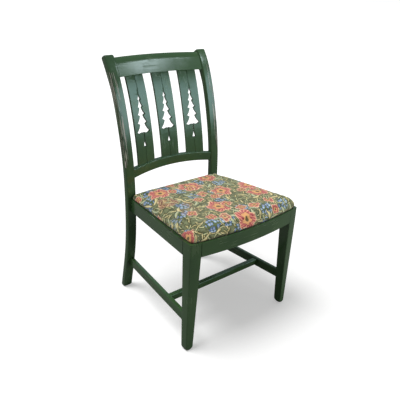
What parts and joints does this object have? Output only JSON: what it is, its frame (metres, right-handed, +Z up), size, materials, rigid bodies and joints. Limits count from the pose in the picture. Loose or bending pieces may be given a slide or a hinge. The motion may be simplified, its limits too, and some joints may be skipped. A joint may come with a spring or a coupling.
{
  "type": "dining chair",
  "caption": "Painted wooden dining side chair with a curved back of pierced pine-tree slats, tapered front legs, an H stretcher and a drop-in upholstered seat.",
  "frame": {"origin": "on the floor at the middle of the chair's box", "axes": "+Z up, -Y the way the sitter faces, +X to the viewer's right when facing the chair"},
  "size_m": [0.506, 0.6, 0.9373],
  "materials": {
    "painted_wood": "dark green paint with a soft gloss, rubbed through at some edges",
    "bare_wood": "sawn, unpainted",
    "plywood": "sanded plywood",
    "foam": "open-cell upholstery foam",
    "tapestry": "woven floral tapestry",
    "dust_cloth": "thin black cambric",
    "screw_steel": "zinc-plated"
  },
  "bodies": {
    "frame": {"front_leg_left": "painted_wood", "front_leg_right": "painted_wood", "back_post_left": "painted_wood", "back_post_right": "painted_wood", "front_seat_rail": "painted_wood", "side_seat_rail_left": "painted_wood", "side_seat_rail_right": "painted_wood", "rear_seat_rail": "painted_wood", "side_stretcher_left": "painted_wood", "side_stretcher_right": "painted_wood", "cross_stretcher": "painted_wood", "crest_rail": "painted_wood", "lower_back_rail": "painted_wood", "slat_left_pair_left_half": "painted_wood", "slat_left_pair_right_half": "painted_wood", "slat_middle_pair_left_half": "painted_wood", "slat_middle_pair_right_half": "painted_wood", "slat_right_pair_left_half": "painted_wood", "slat_right_pair_right_half": "painted_wood", "corner_block_front_left": "bare_wood", "corner_block_front_right": "bare_wood", "corner_block_rear_left": "bare_wood", "corner_block_rear_right": "bare_wood", "corner_block_screws": "screw_steel"},
    "seat": {"seat_board": "plywood", "seat_foam_pad": "foam", "seat_cover": "tapestry", "seat_dust_cloth": "dust_cloth", "seat_staples": "screw_steel"}
  },
  "joints": [
    {"name": "seat_lift", "type": "slide", "parent": "frame", "child": "seat", "axis": [0, 0, 1], "range_m": [0, 0.12]}
  ]
}
